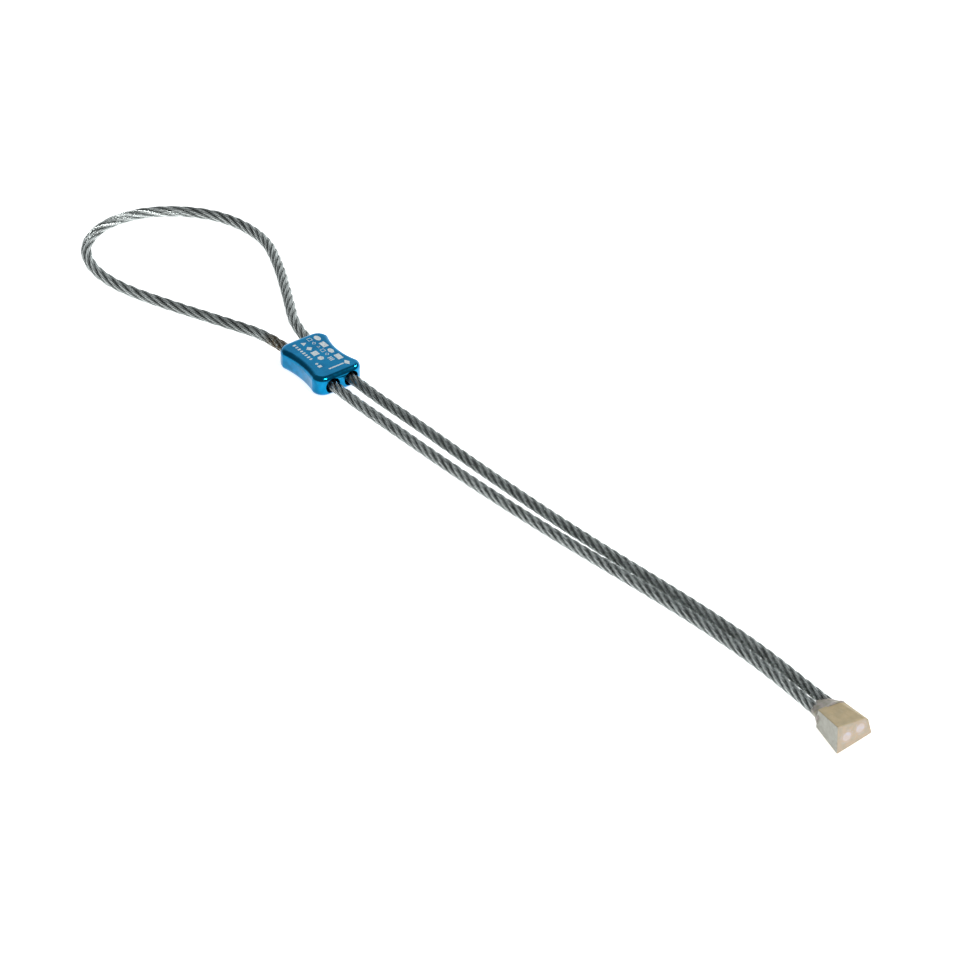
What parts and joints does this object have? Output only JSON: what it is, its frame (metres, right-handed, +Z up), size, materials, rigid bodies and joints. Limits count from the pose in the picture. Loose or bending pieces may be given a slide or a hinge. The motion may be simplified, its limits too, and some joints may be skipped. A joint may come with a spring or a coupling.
{
  "type": "wired climbing nut",
  "caption": "Small offset brass wedge on a loop of thin wire rope, with a crimped blue anodised sleeve that closes off the clip-in loop.",
  "frame": {"origin": "middle of the bounding box's bottom, on the surface that the nut lies on", "axes": "+X along the nut from the clip-in loop to the wedge, +Z up from the surface, +Y towards the upper leg of the wire"},
  "size_m": [0.1953, 0.0312, 0.0055],
  "materials": {
    "rope_steel": "drawn steel wire, stranded, bright on the crowns of the wires",
    "anodised_sleeve": "blue anodised, satin, with pale printed marks on the top",
    "wedge_brass": "filed brass, tarnished, with a thin tinned film on some faces",
    "silver_solder": "dull grey silver solder with flux stain"
  },
  "bodies": {
    "root": {"wire_cable": "rope_steel", "swage_sleeve": "anodised_sleeve", "head_block": "wedge_brass", "solder_fill_lower": "silver_solder", "solder_fill_upper": "silver_solder", "solder_collar": "silver_solder"}
  },
  "joints": []
}
